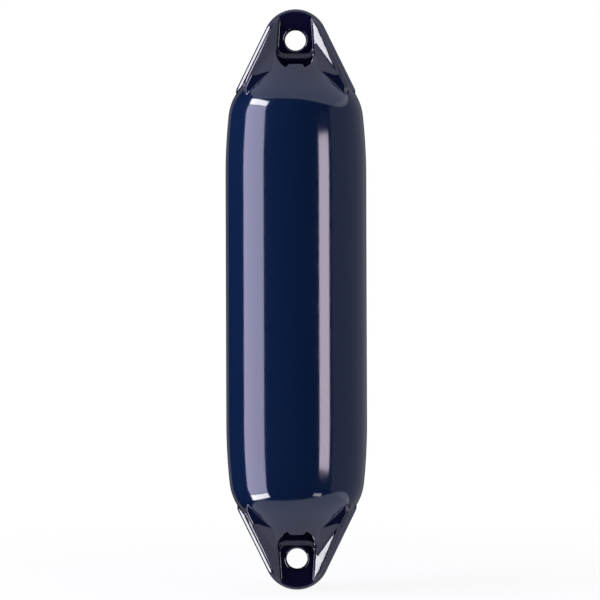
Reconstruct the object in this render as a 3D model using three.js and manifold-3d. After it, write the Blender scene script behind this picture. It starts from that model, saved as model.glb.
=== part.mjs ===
// Inflatable boat fender with a moulded rope eye at each end, in millimetres.
// +Z runs along the fender, the front faces -Y, and the origin is the middle of the barrel.

import * as THREE from "three";
import { mergeVertices } from "three/addons/utils/BufferGeometryUtils.js";
import Module from "manifold-3d";

const wasm = await Module();
wasm.setup();

// Driving dimensions of the air chamber
const length = 610;
const diameter = 148;
const barrelDepth = 175;
const crownRadius = 600;
const crownAngle = 6;
const shoulderRadius = 55;
const noseAngle = 47;
const noseRadius = 12;

// Driving dimensions of a rope eye end, measured inwards from its tip
const tipRadius = 34;
const flankAngle = 26.1;
const plateThickness = 16;
const plateEdge = 4;
const flankDepth = 85;
const rootDepth = 96;
const eyeDiameter = 22;
const eyeDepth = 32.5;
const eyeLip = 2.4;

// Driving dimensions of the ribs, the web between them and its pocket
const ribInset = 5;
const ribAngle = 18;
const ribStart = 6.4;
const ribRise = 0.38;
const ribEdge = 4;
const ribRounding = 0.3;
const webHalfWidth = 15;
const webFlare = 0.127;
const webDepth = 49.5;
const webCorner = 9;
const wallAngle = 55;
const rampDepth = 34;
const rampRise = 0.7;
const pocketRadius = 19.7;
const pocketDepth = 44.3;
const pocketFloor = 5;
const lugWidth = 17.6;
const lugDepth = 57.4;
const lugCorner = 2.5;

// Driving dimensions of the inflation valve on the back of the upper shoulder
const valveAngle = 37;
const valveSink = 1.2;
const seatDiameter = 20;
const seatHeight = 11;
const seatRim = 1.6;
const plugDiameter = 8;
const plugHeadDiameter = 12;
const plugHeadHeight = 3;
const plugLength = 8;
const slotWidth = 1.6;
const slotHeight = 1.4;
const sealThickness = 1.5;
const fitGap = 0.3;

// Fineness of the round faces
const barrelSides = 72;
const eyeSides = 40;
const valveSides = 32;
const crownSteps = 3;
const shoulderSteps = 9;
const tipSteps = 20;
const arcSteps = 6;
const pocketSteps = 36;
const lugSteps = 4;
const edgeSteps = 4;
const overrun = 5;
const weldDistance = 1e-4;

const radians = THREE.MathUtils.degToRad;
const halfLength = length / 2;
const barrelLength = length - 2 * barrelDepth;
const barrelRadius = diameter / 2;
const plateHalf = plateThickness / 2;
const wallRun = 1 / Math.tan(radians(wallAngle));

const vinyl = new THREE.MeshStandardMaterial({ color: 0x101d3c, roughness: 0.22, metalness: 0 });
const nylon = new THREE.MeshStandardMaterial({ color: 0x15161a, roughness: 0.5, metalness: 0 });
const rubber = new THREE.MeshStandardMaterial({ color: 0x0d0d0e, roughness: 0.8, metalness: 0 });

// A closed geometry as a solid, with its shared corners merged
function solidOf(geometry) {
  const bare = geometry.clone();
  bare.deleteAttribute("normal");
  bare.deleteAttribute("uv");
  const welded = mergeVertices(bare, weldDistance);
  const corners = welded.index.array;
  const kept = [];
  for (let i = 0; i < corners.length; i += 3) {
    const [a, b, c] = corners.slice(i, i + 3);
    if (a !== b && b !== c && c !== a) kept.push(a, b, c);
  }
  return new wasm.Manifold(new wasm.Mesh({
    numProp: 3,
    vertProperties: new Float32Array(welded.attributes.position.array),
    triVerts: new Uint32Array(kept),
  }));
}

// A solid's faces as a geometry again
function geometryOf(solid) {
  const faces = solid.getMesh();
  const geometry = new THREE.BufferGeometry();
  geometry.setAttribute("position", new THREE.BufferAttribute(faces.vertProperties, 3));
  geometry.setIndex(new THREE.BufferAttribute(faces.triVerts, 1));
  return geometry;
}

function pieceOf(name, solid, material) {
  const geometry = geometryOf(solid);
  geometry.computeVertexNormals();
  const mesh = new THREE.Mesh(geometry, material);
  mesh.name = name;
  return mesh;
}

// Points of a round stretch from one angle to another, in degrees
function arcPoints(x, y, radius, from, to, steps = arcSteps) {
  const points = [];
  for (let i = 0; i <= steps; i += 1) {
    const angle = radians(from + ((to - from) * i) / steps);
    points.push(new THREE.Vector2(x + radius * Math.cos(angle), y + radius * Math.sin(angle)));
  }
  return points;
}

// A revolved solid about Z, from a profile of radius and height
function turned(profile, sides) {
  return new THREE.LatheGeometry(profile, sides).rotateX(Math.PI / 2);
}

// A front view outline drawn as x and depth from the tip, pushed through from one y to another
function pushedThrough(outline, yFrom, yTo) {
  const drawn = outline.map((point) => new THREE.Vector2(point.x, halfLength - point.y));
  if (THREE.ShapeUtils.isClockWise(drawn)) drawn.reverse();
  const geometry = new THREE.ExtrudeGeometry(new THREE.Shape(drawn), {
    depth: yTo - yFrom,
    bevelEnabled: false,
  });
  return geometry.rotateX(Math.PI / 2).translate(0, yTo, 0);
}

// The same with rounded edges, on both sides of the middle plane
function pushedRound(outline, half, edge, rounding) {
  const drawn = outline.map((point) => new THREE.Vector2(point.x, halfLength - point.y));
  if (THREE.ShapeUtils.isClockWise(drawn)) drawn.reverse();
  const geometry = new THREE.ExtrudeGeometry(new THREE.Shape(drawn), {
    depth: 2 * (half - rounding),
    bevelEnabled: true,
    bevelThickness: rounding,
    bevelSize: edge,
    bevelOffset: -edge,
    bevelSegments: edgeSteps,
  });
  return geometry.rotateX(Math.PI / 2).translate(0, half - rounding, 0);
}

// Moves every corner of a geometry by a rule of its x, y and depth from the tip
function reshaped(geometry, rule) {
  const places = geometry.attributes.position;
  for (let i = 0; i < places.count; i += 1) {
    const place = new THREE.Vector3().fromBufferAttribute(places, i);
    rule(place, halfLength - place.z);
    places.setXYZ(i, place.x, place.y, place.z);
  }
  return geometry;
}

// Centre of the shoulder's arc, which runs on from the crown of the barrel
const shoulderX = barrelRadius - crownRadius
  + (crownRadius - shoulderRadius) * Math.cos(radians(crownAngle));
const shoulderZ = barrelLength / 2
  + (crownRadius - shoulderRadius) * Math.sin(radians(crownAngle));

// Air chamber: a barrel with soft crowned sides, round shoulders and a cone into each eye end
function chamberProfile() {
  const crown = arcPoints(
    barrelRadius - crownRadius, barrelLength / 2, crownRadius, 0, crownAngle, crownSteps);
  const shoulder = arcPoints(
    shoulderX, shoulderZ, shoulderRadius, crownAngle, noseAngle, shoulderSteps);
  const shoulderEnd = shoulder[shoulder.length - 1];
  const noseZ = shoulderEnd.y + (shoulderEnd.x - noseRadius) / Math.tan(radians(noseAngle));
  const upper = [
    ...crown,
    ...shoulder.slice(1),
    new THREE.Vector2(noseRadius, noseZ),
    new THREE.Vector2(0, noseZ),
  ];
  const lower = upper.map((point) => new THREE.Vector2(point.x, -point.y)).reverse();
  return [...lower, ...upper];
}

// Front outline of an eye end: a round tip and two straight flanks, as x and depth
function headOutline(inset, angle) {
  const radius = tipRadius - inset;
  const spread = 90 - angle;
  const tip = arcPoints(0, tipRadius, radius, -90 - spread, -90 + spread, tipSteps);
  const side = tip[tip.length - 1];
  const foot = side.x + (flankDepth - side.y) * Math.tan(radians(angle));
  return [
    ...tip,
    new THREE.Vector2(foot, flankDepth),
    new THREE.Vector2(foot, rootDepth),
    new THREE.Vector2(-foot, rootDepth),
    new THREE.Vector2(-foot, flankDepth),
  ];
}

const plateOutline = headOutline(0, flankAngle);
const ribOutline = headOutline(ribInset, ribAngle);

function ribHeight(depth) {
  return plateHalf + ribRise * Math.max(depth - ribStart, -ribStart);
}

function flareOut(place, depth) {
  place.x += Math.sign(place.x) * webFlare * (depth - ribStart);
}

// The flat web round the eye, with round lower corners
const webOutline = [
  new THREE.Vector2(-webHalfWidth, -overrun),
  ...arcPoints(-webHalfWidth + webCorner, webDepth - webCorner, webCorner, 180, 90),
  ...arcPoints(webHalfWidth - webCorner, webDepth - webCorner, webCorner, 90, 0),
  new THREE.Vector2(webHalfWidth, -overrun),
];

function webPrism(yFrom, yTo) {
  return solidOf(reshaped(pushedThrough(webOutline, yFrom, yTo), flareOut));
}

// The room between the two ribs on one face, above the ramps that carry them to the shoulder
function channel(side) {
  const reach = barrelRadius;
  const top = webHalfWidth + (reach - plateHalf) * wallRun;
  const section = new THREE.Shape([
    new THREE.Vector2(-webHalfWidth, plateHalf),
    new THREE.Vector2(webHalfWidth, plateHalf),
    new THREE.Vector2(top, reach),
    new THREE.Vector2(-top, reach),
  ]);
  const run = new THREE.ExtrudeGeometry(section, { depth: rootDepth + overrun, bevelEnabled: false });
  run.translate(0, 0, halfLength - rootDepth);
  const rampFar = rootDepth + overrun;
  const ramp = new THREE.Shape([
    new THREE.Vector2(rampDepth, 0),
    new THREE.Vector2(rampDepth, plateHalf),
    new THREE.Vector2(rampFar, plateHalf + (rampFar - rampDepth) * rampRise),
    new THREE.Vector2(rampFar, 0),
  ].reverse());
  const ramps = new THREE.ExtrudeGeometry(ramp, { depth: 2 * diameter, bevelEnabled: false });
  ramps.translate(0, 0, -diameter).rotateY(Math.PI / 2).translate(0, 0, halfLength);
  const room = solidOf(reshaped(run, flareOut)).subtract(solidOf(ramps));
  return side > 0 ? room : solidOf(geometryOf(room).rotateZ(Math.PI));
}

// The half-moon pocket under the web on one face, round the moulded lug
function pocket(side) {
  const far = side * barrelRadius;
  const floor = (side * pocketFloor) / 2;
  const [yFrom, yTo] = side > 0 ? [floor, far] : [far, floor];
  const round = arcPoints(0, pocketDepth, pocketRadius, 0, 360, pocketSteps).slice(1);
  const half = lugWidth / 2;
  const lug = [
    ...arcPoints(-half + lugCorner, lugDepth + lugCorner, lugCorner, 180, 270, lugSteps),
    ...arcPoints(half - lugCorner, lugDepth + lugCorner, lugCorner, 270, 360, lugSteps),
    new THREE.Vector2(half, rootDepth),
    new THREE.Vector2(-half, rootDepth),
  ];
  return solidOf(pushedThrough(round, yFrom, yTo))
    .subtract(solidOf(pushedThrough(lug, -diameter, diameter)))
    .subtract(webPrism(-plateHalf, plateHalf));
}

// The rope eye: a bore whose mouths round over onto the web
function eyeBore() {
  const radius = eyeDiameter / 2;
  const mouth = radius + eyeLip;
  const half = [
    ...arcPoints(mouth, plateHalf - eyeLip, eyeLip, 180, 90, edgeSteps),
    new THREE.Vector2(mouth, barrelRadius),
    new THREE.Vector2(0, barrelRadius),
  ];
  const lower = half.map((point) => new THREE.Vector2(point.x, -point.y)).reverse();
  const bore = new THREE.LatheGeometry([...lower, ...half], eyeSides);
  return solidOf(bore.translate(0, 0, halfLength - eyeDepth));
}

// One eye end at +Z: what joins the chamber, and what is cut from them together
function headSolid() {
  const plate = solidOf(pushedRound(plateOutline, plateHalf, plateEdge, plateEdge));
  const ribs = reshaped(pushedRound(ribOutline, 1, ribEdge, ribRounding), (place, depth) => {
    place.y *= ribHeight(depth);
  });
  return plate.add(solidOf(ribs).subtract(channel(1)).subtract(channel(-1)));
}

function headCuts() {
  return webPrism(plateHalf, barrelRadius)
    .add(webPrism(-barrelRadius, -plateHalf))
    .add(pocket(1))
    .add(pocket(-1))
    .add(eyeBore());
}

function atBottom(solid) {
  return solidOf(geometryOf(solid).rotateY(Math.PI));
}

// The valve stands square to the back of the upper shoulder, and its frame starts on the surface
const valveTilt = radians(valveAngle);
const valveFrame = new THREE.Matrix4()
  .makeTranslation(
    0,
    shoulderX + shoulderRadius * Math.cos(valveTilt),
    shoulderZ + shoulderRadius * Math.sin(valveTilt))
  .multiply(new THREE.Matrix4().makeRotationX(valveTilt - Math.PI / 2));

const seatTop = -valveSink;
const seatBottom = seatTop - seatHeight;
const headTop = seatTop;
const headBottom = headTop - plugHeadHeight;
const sealTop = headBottom - fitGap;
const sealBottom = sealTop - sealThickness;
const shelf = sealBottom - fitGap;
const shankBottom = headBottom - plugLength;

function ringProfile(inner, outer, bottom, top) {
  return [
    new THREE.Vector2(inner, bottom),
    new THREE.Vector2(outer, bottom),
    new THREE.Vector2(outer, top),
    new THREE.Vector2(inner, top),
    new THREE.Vector2(inner, bottom),
  ];
}

function valveHole() {
  const radius = seatDiameter / 2 + fitGap;
  const profile = [
    new THREE.Vector2(0, seatBottom - fitGap),
    new THREE.Vector2(radius, seatBottom - fitGap),
    new THREE.Vector2(radius, shoulderRadius),
    new THREE.Vector2(0, shoulderRadius),
  ];
  return solidOf(turned(profile, valveSides).applyMatrix4(valveFrame));
}

// Moulded bush with a counterbore for the plug's head and its washer
function seatSolid() {
  const bore = plugDiameter / 2 + fitGap;
  const counterbore = plugHeadDiameter / 2 + fitGap;
  const outer = seatDiameter / 2;
  return solidOf(turned([
    new THREE.Vector2(bore, seatBottom),
    new THREE.Vector2(outer, seatBottom),
    new THREE.Vector2(outer, seatTop - seatRim),
    new THREE.Vector2(outer - seatRim / 2, seatTop),
    new THREE.Vector2(counterbore, seatTop),
    new THREE.Vector2(counterbore, shelf),
    new THREE.Vector2(bore, shelf),
    new THREE.Vector2(bore, seatBottom),
  ], valveSides));
}

// Screw plug with a slot across its head
function plugSolid() {
  const shank = plugDiameter / 2;
  const rim = plugHeadDiameter / 2;
  const plug = solidOf(turned([
    new THREE.Vector2(0, shankBottom),
    new THREE.Vector2(shank, shankBottom),
    new THREE.Vector2(shank, headBottom),
    new THREE.Vector2(rim, headBottom),
    new THREE.Vector2(rim, headTop),
    new THREE.Vector2(0, headTop),
  ], valveSides));
  const slot = new THREE.BoxGeometry(2 * plugHeadDiameter, slotWidth, 2 * slotHeight);
  return plug.subtract(solidOf(slot.translate(0, 0, headTop)));
}

function sealSolid() {
  return solidOf(turned(
    ringProfile(plugDiameter / 2 + fitGap, plugHeadDiameter / 2, sealBottom, sealTop), valveSides));
}

const head = headSolid();
const cuts = headCuts();
const chamber = solidOf(turned(chamberProfile(), barrelSides));
const body = chamber
  .add(head)
  .add(atBottom(head))
  .subtract(cuts)
  .subtract(atBottom(cuts))
  .subtract(valveHole());

const valve = new THREE.Group();
valve.applyMatrix4(valveFrame);
valve.add(
  pieceOf("valve_seat", seatSolid(), nylon),
  pieceOf("valve_seal", sealSolid(), rubber),
  pieceOf("valve_plug", plugSolid(), nylon));

const fender = new THREE.Group();
fender.add(pieceOf("fender_body", body, vinyl), valve);

export default fender;
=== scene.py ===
"""An inflatable boat fender, standing upright on a plain pale floor in soft studio light."""
import math

import bpy
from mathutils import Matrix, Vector


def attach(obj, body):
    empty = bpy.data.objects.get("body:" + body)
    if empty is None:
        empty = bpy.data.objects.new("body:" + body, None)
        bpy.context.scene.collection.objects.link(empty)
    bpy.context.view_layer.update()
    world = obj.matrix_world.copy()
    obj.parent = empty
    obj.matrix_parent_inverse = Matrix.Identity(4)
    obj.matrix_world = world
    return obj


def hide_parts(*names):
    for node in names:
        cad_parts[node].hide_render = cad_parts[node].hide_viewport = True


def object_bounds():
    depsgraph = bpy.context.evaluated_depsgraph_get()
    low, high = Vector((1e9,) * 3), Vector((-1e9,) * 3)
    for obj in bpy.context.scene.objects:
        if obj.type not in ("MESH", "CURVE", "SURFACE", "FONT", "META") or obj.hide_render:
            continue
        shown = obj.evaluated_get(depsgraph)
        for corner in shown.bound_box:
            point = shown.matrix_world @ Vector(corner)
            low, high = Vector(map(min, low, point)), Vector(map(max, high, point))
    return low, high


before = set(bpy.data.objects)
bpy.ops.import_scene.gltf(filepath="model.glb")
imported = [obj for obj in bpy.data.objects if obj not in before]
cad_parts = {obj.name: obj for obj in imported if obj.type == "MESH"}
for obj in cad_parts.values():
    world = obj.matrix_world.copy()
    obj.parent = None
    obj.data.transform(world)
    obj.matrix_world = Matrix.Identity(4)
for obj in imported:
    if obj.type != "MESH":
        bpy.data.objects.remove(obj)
solid_low, solid_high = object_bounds()

MM = 0.001

# The air chamber: barrel and shoulders as in the CAD model, with a steeper nose under each eye
LENGTH = 610 * MM
DIAMETER = 148 * MM
BARREL_DEPTH = 175 * MM
CROWN_RADIUS = 600 * MM
CROWN_ANGLE = math.radians(6)
SHOULDER_RADIUS = 55 * MM
NOSE_ANGLE = math.radians(36)
NOSE_RADIUS = 24 * MM

# A rope eye end, measured inwards from its tip
TIP_RADIUS = 34 * MM
FLANK_ANGLE = math.radians(26.1)
PLATE_HALF = 8 * MM
PLATE_EDGE = 4.5 * MM
PLATE_EDGE_ANGLE = math.radians(50)
FLANK_DEPTH = 85 * MM
ROOT_DEPTH = 104 * MM
EYE_RADIUS = 11 * MM
EYE_DEPTH = 32.5 * MM
EYE_LIP = 3 * MM
EYE_REACH = 30 * MM

# The ribs, their flanks towards the middle, and the gussets that rise to the chamber. The
# slopes say how far a face comes forwards for each unit across or down the end.
RIB_INSET = 4.2 * MM
RIB_TOP = 40.5 * MM
RIB_DRAFT = math.radians(10)
RIB_START = 6.4 * MM
FLANK_SLOPE_ACROSS = 0.5
FLANK_SLOPE_DOWN = 0.27
GUSSET_HALF_WIDTH = 21 * MM
GUSSET_DEPTH = 40 * MM
GUSSET_SLOPE_ACROSS = 0.25
GUSSET_SLOPE_DOWN = 0.78

# The flat web between the ribs, the step and the terrace under it, and the lug
WEB_HALF_WIDTH = 15 * MM
WEB_FLARE = 0.11
WEB_DEPTH = 48.8 * MM
WEB_CORNER = 9 * MM
WEB_SINK = 0.1 * MM
STEP_DEPTH = 51.3 * MM
STEP_LEVEL = 11 * MM
TERRACE_RADIUS = 20 * MM
TERRACE_DEPTH = 47.5 * MM
TERRACE_LEVEL = 14 * MM
LUG_HALF = 8.8 * MM
LUG_DEPTH = 61.2 * MM
LUG_CORNER = 2.5 * MM

# The valve's hole in the back of the upper shoulder
VALVE_ANGLE = math.radians(37)
VALVE_HOLE_RADIUS = 10.5 * MM
VALVE_HOLE_DEPTH = 14 * MM

# Where painted shade begins to darken the vinyl's colour and turn it purple towards an eye end, and
# where it is full
END_SHADE_START = 105 * MM
END_SHADE_END = 62 * MM

# The moulded skin. Its two ends meet the barrel at a seam that lies below the valve's hole.
SKIN_STEP = 0.9 * MM
SKIN_SMOOTHING = 10
SKIN_KEPT = 0.5
SEAM_DEPTH = 105 * MM
SEAM_SPARE = 6 * MM
RETURN_NEAR = 0.2 * MM
RETURN_FAR = 0.5 * MM

# Sides of the round shapes
TIP_SIDES = 160
CHAMBER_SIDES = 192
BARREL_SIDES = 256
EYE_SIDES = 128
HOLE_SIDES = 96

TIP = LENGTH / 2
BARREL_RADIUS = DIAMETER / 2
BARREL_HALF = TIP - BARREL_DEPTH

# Reaches past the object for what is cut away, and what counts as the same point
FAR = 2 * BARREL_RADIUS
FRONT_REACH = 1.2 * BARREL_RADIUS
OVERRUN = 5 * MM
WELD = 0.001 * MM
FLAT_ANGLE = math.radians(0.05)

UP = Vector((0, 0, 1))

# Places of the two colours and the result on Blender's node that mixes colours
MIX_FIRST, MIX_SECOND, MIX_RESULT = 6, 7, 2


def pick(*pieces):
    bpy.ops.object.select_all(action="DESELECT")
    for piece in pieces:
        piece.select_set(True)
    bpy.context.view_layer.objects.active = pieces[0]


def finish_modifier(piece, kind, **settings):
    """Adds a modifier and applies it."""
    pick(piece)
    step = piece.modifiers.new(kind.lower(), kind)
    for name, value in settings.items():
        setattr(step, name, value)
    bpy.ops.object.modifier_apply(modifier=step.name)


def combine(piece, other, operation):
    finish_modifier(piece, "BOOLEAN", operation=operation, solver="MANIFOLD", object=other)
    bpy.data.objects.remove(other)


def block(low, high):
    """A box between two corners."""
    bpy.ops.object.select_all(action="DESELECT")
    size = [h - l for l, h in zip(low, high)]
    middle = [(l + h) / 2 for l, h in zip(low, high)]
    bpy.ops.mesh.primitive_cube_add(size=1, location=middle, scale=size)
    bpy.ops.object.transform_apply()
    return bpy.context.object


def bar(radius, depth, y_from, y_to, sides):
    """A round bar from front to back, at a depth below the tip."""
    bpy.ops.object.select_all(action="DESELECT")
    bpy.ops.mesh.primitive_cylinder_add(
        vertices=sides, radius=radius, depth=abs(y_to - y_from),
        location=(0, (y_from + y_to) / 2, TIP - depth), rotation=(math.pi / 2, 0, 0))
    bpy.ops.object.transform_apply()
    return bpy.context.object


def cut_off(piece, point, normal):
    """Bisects a piece, drops what lies on the normal's side, and closes the cut."""
    pick(piece)
    bpy.ops.object.mode_set(mode="EDIT")
    bpy.ops.mesh.select_all(action="SELECT")
    bpy.ops.mesh.bisect(plane_co=point, plane_no=normal, use_fill=True, clear_outer=True)
    bpy.ops.object.mode_set(mode="OBJECT")


def round_upright_edges(piece, radius, segments, wanted):
    """Bevels the edges that run from front to back, where wanted(z) says so."""
    pick(piece)
    bpy.ops.object.mode_set(mode="EDIT")
    bpy.ops.mesh.select_all(action="DESELECT")
    bpy.ops.mesh.select_mode(type="EDGE")
    bpy.ops.object.mode_set(mode="OBJECT")
    for edge in piece.data.edges:
        a, b = (piece.data.vertices[i].co for i in edge.vertices)
        edge.select = abs(a.x - b.x) < WELD and abs(a.z - b.z) < WELD and wanted(a.z)
    bpy.ops.object.mode_set(mode="EDIT")
    bpy.ops.mesh.bevel(offset=radius, segments=segments)
    bpy.ops.object.mode_set(mode="OBJECT")


def arc(x, y, radius, start, end, steps):
    turns = [start + (end - start) * i / steps for i in range(steps + 1)]
    return [(x + radius * math.cos(a), y + radius * math.sin(a)) for a in turns]


def turned(name, profile, steps):
    """Draws a profile of radius and height corner by corner, and spins it round Z."""
    bpy.ops.object.select_all(action="DESELECT")
    bpy.ops.mesh.primitive_plane_add(size=MM)
    piece = bpy.context.object
    piece.name = name
    bpy.ops.object.mode_set(mode="EDIT")
    bpy.ops.mesh.select_mode(type="VERT")
    bpy.ops.mesh.select_all(action="SELECT")
    bpy.ops.mesh.merge(type="CENTER")
    bpy.ops.transform.translate(value=(profile[0][0], 0, profile[0][1]))
    for (x_from, z_from), (x_to, z_to) in zip(profile, profile[1:]):
        bpy.ops.mesh.extrude_vertices_move(
            TRANSFORM_OT_translate={"value": (x_to - x_from, 0, z_to - z_from)})
    bpy.ops.mesh.select_all(action="SELECT")
    bpy.ops.mesh.spin(steps=steps, angle=2 * math.pi, center=(0, 0, 0), axis=UP)
    bpy.ops.mesh.select_all(action="SELECT")
    bpy.ops.mesh.remove_doubles(threshold=WELD)
    bpy.ops.mesh.normals_make_consistent(inside=False)
    bpy.ops.object.mode_set(mode="OBJECT")
    return piece


# Centre of the shoulder's arc, which runs on from the crown of the barrel
CROWN_SHIFT = CROWN_RADIUS - SHOULDER_RADIUS
SHOULDER_X = BARREL_RADIUS - CROWN_RADIUS + CROWN_SHIFT * math.cos(CROWN_ANGLE)
SHOULDER_Z = BARREL_HALF + CROWN_SHIFT * math.sin(CROWN_ANGLE)
CROWN_END = BARREL_HALF + CROWN_RADIUS * math.sin(CROWN_ANGLE)
SHOULDER_END = SHOULDER_Z + SHOULDER_RADIUS * math.sin(NOSE_ANGLE)


def chamber_radius(z):
    """The air chamber's radius at a height."""
    z = abs(z)
    if z < BARREL_HALF:
        return BARREL_RADIUS
    if z < CROWN_END:
        return BARREL_RADIUS - CROWN_RADIUS + math.sqrt(CROWN_RADIUS**2 - (z - BARREL_HALF)**2)
    if z < SHOULDER_END:
        return SHOULDER_X + math.sqrt(SHOULDER_RADIUS**2 - (z - SHOULDER_Z)**2)
    shoulder_end_x = SHOULDER_X + SHOULDER_RADIUS * math.cos(NOSE_ANGLE)
    return shoulder_end_x - (z - SHOULDER_END) * math.tan(NOSE_ANGLE)


def shoulder_profile():
    shoulder = arc(SHOULDER_X, SHOULDER_Z, SHOULDER_RADIUS, CROWN_ANGLE, NOSE_ANGLE, 24)
    end_x, end_z = shoulder[-1]
    nose_z = end_z + (end_x - NOSE_RADIUS) / math.tan(NOSE_ANGLE)
    return shoulder + [(NOSE_RADIUS, nose_z), (0, nose_z)]


def wedge(*layers):
    """An eye end's outline, a round tip on a spreading foot, hulled over its layers.

    Each layer is an inset of the outline and the half thickness that it stands for.
    """
    pieces = []
    for inset, half in layers:
        radius = TIP_RADIUS - inset
        foot = (radius * math.cos(FLANK_ANGLE) + math.tan(FLANK_ANGLE)
                * (FLANK_DEPTH - TIP_RADIUS + radius * math.sin(FLANK_ANGLE)))
        pieces.append(bar(radius, TIP_RADIUS, -half, half, TIP_SIDES))
        pieces.append(block((-foot, -half, TIP - ROOT_DEPTH), (foot, half, TIP - FLANK_DEPTH)))
    pick(*pieces)
    bpy.ops.object.join()
    bpy.ops.object.mode_set(mode="EDIT")
    bpy.ops.mesh.select_all(action="SELECT")
    bpy.ops.mesh.convex_hull()
    bpy.ops.mesh.select_all(action="SELECT")
    bpy.ops.mesh.dissolve_limited(angle_limit=FLAT_ANGLE)
    bpy.ops.object.mode_set(mode="OBJECT")
    return pieces[0]


def eye_plate():
    plate = wedge((0, PLATE_HALF))
    finish_modifier(plate, "BEVEL", width=PLATE_EDGE, segments=6,
                    limit_method="ANGLE", angle_limit=PLATE_EDGE_ANGLE)
    return plate


def rib_pair(side):
    """The two ribs of one face: their crests rise from near the tip down to the shoulder."""
    drawn_in = (RIB_TOP - PLATE_HALF) * math.tan(RIB_DRAFT)
    ribs = wedge((RIB_INSET, PLATE_HALF), (RIB_INSET + drawn_in, RIB_TOP))
    cut_off(ribs, (0, PLATE_HALF / 4, 0), (0, 1, 0))
    for hand in (-1, 1):
        combine(ribs, front_room(hand), "DIFFERENCE")
    if side > 0:
        pick(ribs)
        bpy.ops.transform.rotate(value=math.pi, orient_axis="Z", center_override=(0, 0, 0))
        bpy.ops.object.transform_apply()
    return ribs


def front_room(hand):
    """The room between the ribs of the front, over both flanks and the gusset of one hand."""
    space = block((-FAR, -FAR, TIP - FAR), (FAR, -PLATE_HALF / 2, TIP + FAR))
    for flank in (-1, 1):
        under = Vector((flank * FLANK_SLOPE_ACROSS, 1, -FLANK_SLOPE_DOWN)).normalized()
        cut_off(space, (flank * WEB_HALF_WIDTH, -PLATE_HALF, TIP - RIB_START), under)
    peak_rise = (FLANK_SLOPE_ACROSS * (GUSSET_HALF_WIDTH - WEB_HALF_WIDTH)
                 + FLANK_SLOPE_DOWN * (GUSSET_DEPTH - RIB_START))
    under = Vector((-hand * GUSSET_SLOPE_ACROSS, 1, -GUSSET_SLOPE_DOWN)).normalized()
    peak = (hand * GUSSET_HALF_WIDTH, -PLATE_HALF - peak_rise, TIP - GUSSET_DEPTH)
    cut_off(space, peak, under)
    return space


def web_block(depth, side, level):
    """What is cut in front of a level on one face, down to two round corners at a depth."""
    low = TIP - depth
    near, far = side * level, side * FRONT_REACH
    web = block((-WEB_HALF_WIDTH, min(near, far), low),
                (WEB_HALF_WIDTH, max(near, far), TIP + OVERRUN))
    for corner in web.data.vertices:
        corner.co.x += math.copysign(WEB_FLARE * (TIP - corner.co.z - RIB_START), corner.co.x)
    round_upright_edges(web, WEB_CORNER, 12, lambda z: z < low + MM)
    return web


def terrace(side):
    """The half-moon cut in front of the terrace of one face, round the moulded lug."""
    far = side * FRONT_REACH
    space = bar(TERRACE_RADIUS, TERRACE_DEPTH, side * TERRACE_LEVEL, far, HOLE_SIDES)
    top = TIP - LUG_DEPTH
    lug = block((-LUG_HALF, min(0, 2 * far), TIP - ROOT_DEPTH), (LUG_HALF, max(0, 2 * far), top))
    round_upright_edges(lug, LUG_CORNER, 5, lambda z: z > top - MM)
    combine(space, lug, "DIFFERENCE")
    return space


def eye_bore():
    """What is cut away for the rope eye, with mouths that round over onto the web."""
    mouth = EYE_RADIUS + EYE_LIP
    half = arc(mouth, PLATE_HALF - EYE_LIP, EYE_LIP, math.pi, math.pi / 2, 8)
    half += [(mouth, EYE_REACH), (0, EYE_REACH)]
    bore = turned("eye_bore", [(x, -z) for x, z in reversed(half)] + half, EYE_SIDES)
    pick(bore)
    bpy.ops.transform.rotate(value=math.pi / 2, orient_axis="X", center_override=(0, 0, 0))
    bpy.ops.transform.translate(value=(0, 0, TIP - EYE_DEPTH))
    bpy.ops.object.transform_apply()
    return bore


def valve_hole():
    """The round hole square to the shoulder, which the valve stands in."""
    bpy.ops.object.select_all(action="DESELECT")
    out = Vector((0, math.cos(VALVE_ANGLE), math.sin(VALVE_ANGLE)))
    mouth = Vector((0, SHOULDER_X, SHOULDER_Z)) + SHOULDER_RADIUS * out
    bpy.ops.mesh.primitive_cylinder_add(
        vertices=HOLE_SIDES, radius=VALVE_HOLE_RADIUS, depth=2 * VALVE_HOLE_DEPTH,
        location=mouth, rotation=(VALVE_ANGLE - math.pi / 2, 0, 0))
    bpy.ops.object.transform_apply()
    return bpy.context.object


def onto_chamber(piece):
    """Lays each corner that smoothing moved off the air chamber back on its true surface."""
    for corner in piece.data.vertices:
        x, y, z = corner.co
        radius = math.hypot(x, y)
        if radius < NOSE_RADIUS or abs(z) > TIP - FLANK_DEPTH / 2:
            continue
        off = abs(radius - chamber_radius(z)) * math.cos(NOSE_ANGLE)
        weight = min(1, max(0, (RETURN_FAR - off) / (RETURN_FAR - RETURN_NEAR)))
        if weight > 0:
            scale = 1 + weight * (chamber_radius(z) / radius - 1)
            corner.co.x *= scale
            corner.co.y *= scale


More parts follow.
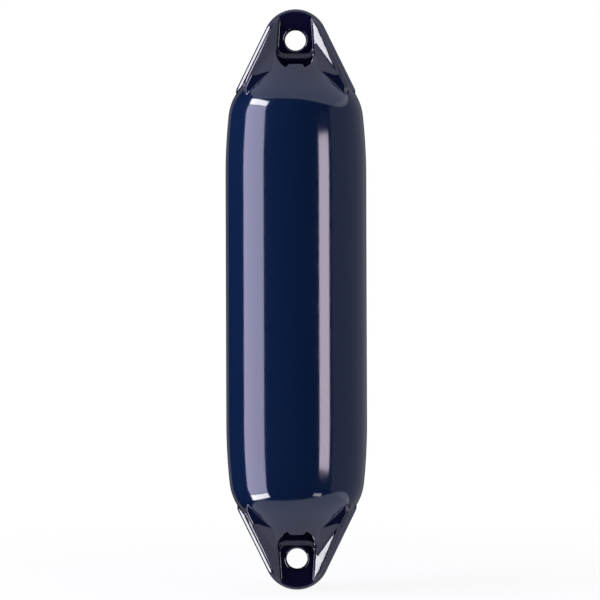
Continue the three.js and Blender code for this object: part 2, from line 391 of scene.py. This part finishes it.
def moulded_end(name, with_valve):
    """One end of the fender down to a seam on the shoulder, as one soft-edged skin."""
    low = TIP - SEAM_DEPTH - SEAM_SPARE
    profile = [(0, low), (chamber_radius(low), low)] + [p for p in shoulder_profile() if p[1] > low]
    end = turned(name, profile, CHAMBER_SIDES)
    combine(end, eye_plate(), "UNION")
    for side in (-1, 1):
        combine(end, rib_pair(side), "UNION")
    for side in (-1, 1):
        combine(end, web_block(WEB_DEPTH, side, PLATE_HALF - WEB_SINK), "DIFFERENCE")
        combine(end, web_block(STEP_DEPTH, side, STEP_LEVEL), "DIFFERENCE")
        combine(end, terrace(side), "DIFFERENCE")
    combine(end, eye_bore(), "DIFFERENCE")
    if with_valve:
        combine(end, valve_hole(), "DIFFERENCE")
    finish_modifier(end, "REMESH", mode="VOXEL", voxel_size=SKIN_STEP)
    finish_modifier(end, "SMOOTH", factor=0.5, iterations=SKIN_SMOOTHING)
    onto_chamber(end)
    finish_modifier(end, "DECIMATE", ratio=SKIN_KEPT)
    pick(end)
    bpy.ops.object.mode_set(mode="EDIT")
    bpy.ops.mesh.select_all(action="SELECT")
    bpy.ops.mesh.bisect(plane_co=(0, 0, TIP - SEAM_DEPTH), plane_no=UP, clear_inner=True)
    bpy.ops.object.mode_set(mode="OBJECT")
    return end


def barrel_skin():
    """The barrel between the two seams, open at both ends."""
    seam = TIP - SEAM_DEPTH
    turn = math.asin((seam - SHOULDER_Z) / SHOULDER_RADIUS)
    crown = arc(BARREL_RADIUS - CROWN_RADIUS, BARREL_HALF, CROWN_RADIUS, 0, CROWN_ANGLE, 12)
    shoulder = arc(SHOULDER_X, SHOULDER_Z, SHOULDER_RADIUS, CROWN_ANGLE, turn, 14)
    upper = crown + shoulder[1:-1]
    return turned("barrel", [(x, -z) for x, z in reversed(upper)] + upper, BARREL_SIDES)


def bridge_seam(piece, side):
    """Joins the two open rims that face each other at one seam."""
    pick(piece)
    bpy.ops.object.mode_set(mode="EDIT")
    bpy.ops.mesh.select_all(action="DESELECT")
    bpy.ops.mesh.select_mode(type="EDGE")
    bpy.ops.mesh.select_non_manifold(extend=False, use_wire=False, use_boundary=True,
                                     use_multi_face=False, use_non_contiguous=False,
                                     use_verts=False)
    bpy.ops.object.mode_set(mode="OBJECT")
    for edge in piece.data.edges:
        if edge.select and piece.data.vertices[edge.vertices[0]].co.z * side < 0:
            edge.select = False
    bpy.ops.object.mode_set(mode="EDIT")
    bpy.ops.mesh.bridge_edge_loops()
    bpy.ops.object.mode_set(mode="OBJECT")


def fender_skin():
    upper = moulded_end("fender_skin", True)
    lower = moulded_end("lower_end", False)
    pick(lower)
    bpy.ops.transform.rotate(value=math.pi, orient_axis="Y", center_override=(0, 0, 0))
    bpy.ops.object.transform_apply()
    pick(upper, lower, barrel_skin())
    bpy.ops.object.join()
    for side in (-1, 1):
        bridge_seam(upper, side)
    onto_chamber(upper)
    pick(upper)
    bpy.ops.object.mode_set(mode="EDIT")
    bpy.ops.mesh.select_all(action="SELECT")
    bpy.ops.mesh.remove_doubles(threshold=WELD)
    bpy.ops.mesh.normals_make_consistent(inside=False)
    bpy.ops.object.mode_set(mode="OBJECT")
    bpy.ops.object.shade_smooth()
    return upper


class Nodes:
    """Short ways to write a material's nodes."""

    def __init__(self, name):
        self.material = bpy.data.materials.new(name)
        self.material.use_nodes = True
        self.tree = self.material.node_tree
        self.shader = self.tree.nodes["Principled BSDF"]
        self.place = self.add("ShaderNodeTexCoord").outputs["Object"]

    def add(self, kind, inputs=None, **settings):
        node = self.tree.nodes.new(kind)
        for name, value in settings.items():
            setattr(node, name, value)
        for name, value in (inputs or {}).items():
            self.feed(node.inputs[name], value)
        return node

    def feed(self, socket, value):
        if isinstance(value, bpy.types.NodeSocket):
            self.tree.links.new(value, socket)
        else:
            socket.default_value = value

    def maths(self, operation, *values):
        node = self.add("ShaderNodeMath", operation=operation)
        for socket, value in zip(node.inputs, values):
            self.feed(socket, value)
        return node.outputs[0]

    def noise(self, scale, detail=2.0):
        inputs = {"Vector": self.place, "Scale": scale, "Detail": detail}
        return self.add("ShaderNodeTexNoise", inputs).outputs["Fac"]

    def span(self, value, low, high, to_low, to_high, **settings):
        inputs = {"Value": value, "From Min": low, "From Max": high,
                  "To Min": to_low, "To Max": to_high}
        return self.add("ShaderNodeMapRange", inputs, **settings).outputs["Result"]

    def blend(self, factor, first, second):
        node = self.add("ShaderNodeMix", data_type="RGBA")
        self.feed(node.inputs["Factor"], factor)
        self.feed(node.inputs[MIX_FIRST], first)
        self.feed(node.inputs[MIX_SECOND], second)
        return node.outputs[MIX_RESULT]

    def bump(self, height, distance, strength=1.0, normal=None):
        inputs = {"Height": height, "Distance": distance, "Strength": strength}
        if normal is not None:
            inputs["Normal"] = normal
        return self.add("ShaderNodeBump", inputs).outputs["Normal"]


def gloss_vinyl():
    """Deep navy moulded vinyl with a hard gloss, darkened with painted shade towards its ends."""
    n = Nodes("gloss_navy_vinyl")
    navy = (0.0028, 0.0098, 0.0305, 1)
    lighter = (0.0036, 0.0112, 0.0345, 1)
    painted_end_shade = (0.0042, 0.0042, 0.017, 1)
    place = n.add("ShaderNodeSeparateXYZ", {"Vector": n.place})
    height = n.maths("ABSOLUTE", place.outputs["Z"])
    # Painted shade: the base colour turns darker and more purple towards each eye end
    end_shade_share = n.span(height, TIP - END_SHADE_START, TIP - END_SHADE_END, 0.0, 1.0)
    n.feed(n.shader.inputs["Base Color"],
           n.blend(end_shade_share, n.blend(n.noise(9.0), navy, lighter), painted_end_shade))
    n.feed(n.shader.inputs["Roughness"], n.span(n.noise(60.0), 0.3, 0.7, 0.075, 0.11))
    n.shader.inputs["IOR"].default_value = 1.52
    # A thin line of flash along the mould's parting plane, over a slightly uneven surface
    off_line = n.maths("ABSOLUTE", place.outputs["Y"])
    flash = n.span(off_line, 0.15 * MM, 0.55 * MM, 1.0, 0.0)
    uneven = n.bump(n.noise(70.0, 1.0), 0.02 * MM)
    n.feed(n.shader.inputs["Normal"], n.bump(flash, 0.12 * MM, 0.6, uneven))
    return n.material


def grained(name, dark, light, patches, roughness_patches, roughness, grain, grain_height):
    """A dull dark material, patchy in colour and roughness, with a fine grain."""
    n = Nodes(name)
    n.feed(n.shader.inputs["Base Color"], n.blend(n.noise(patches), dark, light))
    n.feed(n.shader.inputs["Roughness"], n.span(n.noise(roughness_patches), 0.3, 0.7, *roughness))
    n.feed(n.shader.inputs["Normal"], n.bump(n.noise(grain), grain_height, 0.6))
    return n.material


def studio_floor(low):
    """A pale floor, which the camera sees as white with the object's soft shadow on it."""
    bpy.ops.object.select_all(action="DESELECT")
    bpy.ops.mesh.primitive_plane_add(size=12, location=(0, 0, low))
    floor = bpy.context.object
    bpy.ops.object.transform_apply()
    floor.name = "studio_floor"
    floor.visible_glossy = False
    n = Nodes("pale_floor")
    n.shader.inputs["Base Color"].default_value = (0.8, 0.8, 0.8, 1)
    n.shader.inputs["Roughness"].default_value = 0.9
    apart = n.add("ShaderNodeVectorMath", operation="LENGTH")
    n.feed(apart.inputs[0], n.place)
    whiteness = n.span(apart.outputs["Value"], 0.15, 0.9, 0.88, 1.0, interpolation_type="SMOOTHSTEP")
    seen = n.add("ShaderNodeLightPath").outputs["Is Camera Ray"]
    mix = n.add("ShaderNodeMixShader", {"Fac": n.maths("MULTIPLY", seen, whiteness)})
    n.feed(mix.inputs[1], n.shader.outputs[0])
    n.feed(mix.inputs[2], n.add("ShaderNodeEmission").outputs[0])
    n.feed(n.tree.nodes["Material Output"].inputs["Surface"], mix.outputs[0])
    floor.data.materials.append(n.material)


def studio_world():
    """White to the camera, and dark to the object, which the lamps light."""
    world = bpy.data.worlds.new("studio")
    world.use_nodes = True
    tree = world.node_tree
    back = tree.nodes["Background"]
    back.inputs["Color"].default_value = (1, 1, 1, 1)
    path = tree.nodes.new("ShaderNodeLightPath")
    tree.links.new(path.outputs["Is Camera Ray"], back.inputs["Strength"])
    bpy.context.scene.world = world


def lamp(name, azimuth, elevation, distance, width, height, level, colour,
         shape="RECTANGLE", shift=(0, 0, 0)):
    """A lamp turned to the object. Its level is what a white mirror of it would show."""
    a, e = math.radians(azimuth), math.radians(elevation)
    away = Vector((math.sin(a) * math.cos(e), -math.cos(a) * math.cos(e), math.sin(e)))
    area = width * height * (math.pi / 4 if shape == "ELLIPSE" else 1)
    light = bpy.data.lights.new(name, "AREA")
    light.shape = shape
    light.size = width
    light.size_y = height
    light.color = colour
    light.energy = level * math.pi * area
    holder = bpy.data.objects.new(name, light)
    holder.location = away * distance + Vector(shift)
    holder.rotation_euler = away.to_track_quat("Z", "Y").to_euler()
    holder.visible_camera = False
    bpy.context.scene.collection.objects.link(holder)


def studio_lamps():
    """Softboxes left and right, cards above and below, and dim cards behind for the edges."""
    lamp("left_softbox", -73, 0, 1.5, 1.09, 1.78, 7.4, (0.74, 0.70, 1.0))
    lamp("right_strip", 45.5, 0, 1.5, 0.45, 0.93, 9.6, (0.95, 0.82, 1.0), shift=(0, 0, -0.018))
    lamp("upper_left_box", -73, 36.2, 1.8, 1.06, 0.29, 19, (0.93, 0.92, 1.0))
    lamp("lower_left_box", -73, -36.0, 1.79, 1.06, 0.26, 19, (0.93, 0.94, 1.0))
    lamp("lower_right_box", 38, -35, 2.0, 0.42, 0.2, 6, (0.9, 0.9, 1.0))
    for name, elevation in (("top_card", 90), ("bottom_card", -90)):
        lamp(name, 0, elevation, 1.2, 3.9, 2.3, 1.25, (0.74, 0.78, 1.0), "ELLIPSE", (0.6, 0, 0))
    lamp("right_card", 110, 0, 1.6, 3.8, 2.3, 0.32, (0.94, 0.93, 1.0))
    lamp("left_rim", -152, 0, 1.8, 0.5, 2.4, 0.2, (1.0, 0.95, 1.0))


def studio_camera():
    """A long lens level with the object's middle, at the photograph's framing."""
    distance = 2.5
    shown = 0.6313
    off_middle = Vector((0.0039, 0, -0.0006))
    roll = math.radians(0.18)
    data = bpy.data.cameras.new("camera")
    data.sensor_width = 36
    data.lens = data.sensor_width * distance / shown
    data.clip_start = 0.01
    data.clip_end = 100
    camera = bpy.data.objects.new("camera", data)
    camera.location = off_middle - Vector((0, distance, 0))
    camera.rotation_euler = (math.pi / 2, roll, 0)
    bpy.context.scene.collection.objects.link(camera)
    bpy.context.scene.camera = camera


skin = fender_skin()
skin.data.materials.clear()
skin.data.materials.append(gloss_vinyl())
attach(skin, "root")
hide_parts("fender_body")

nylon = grained("matte_black_nylon", (0.010, 0.011, 0.014, 1), (0.018, 0.019, 0.023, 1),
                220.0, 400.0, (0.42, 0.56), 900.0, 0.03 * MM)
rubber = grained("seal_rubber", (0.006, 0.006, 0.006, 1), (0.012, 0.012, 0.012, 1),
                 300.0, 250.0, (0.72, 0.88), 700.0, 0.05 * MM)
for node, material in (("valve_seat", nylon), ("valve_plug", nylon), ("valve_seal", rubber)):
    for slot in bpy.data.objects[node].material_slots:
        slot.material = material

bpy.context.scene.view_settings.view_transform = "Standard"
studio_floor(solid_low.z)
studio_world()
studio_lamps()
studio_camera()
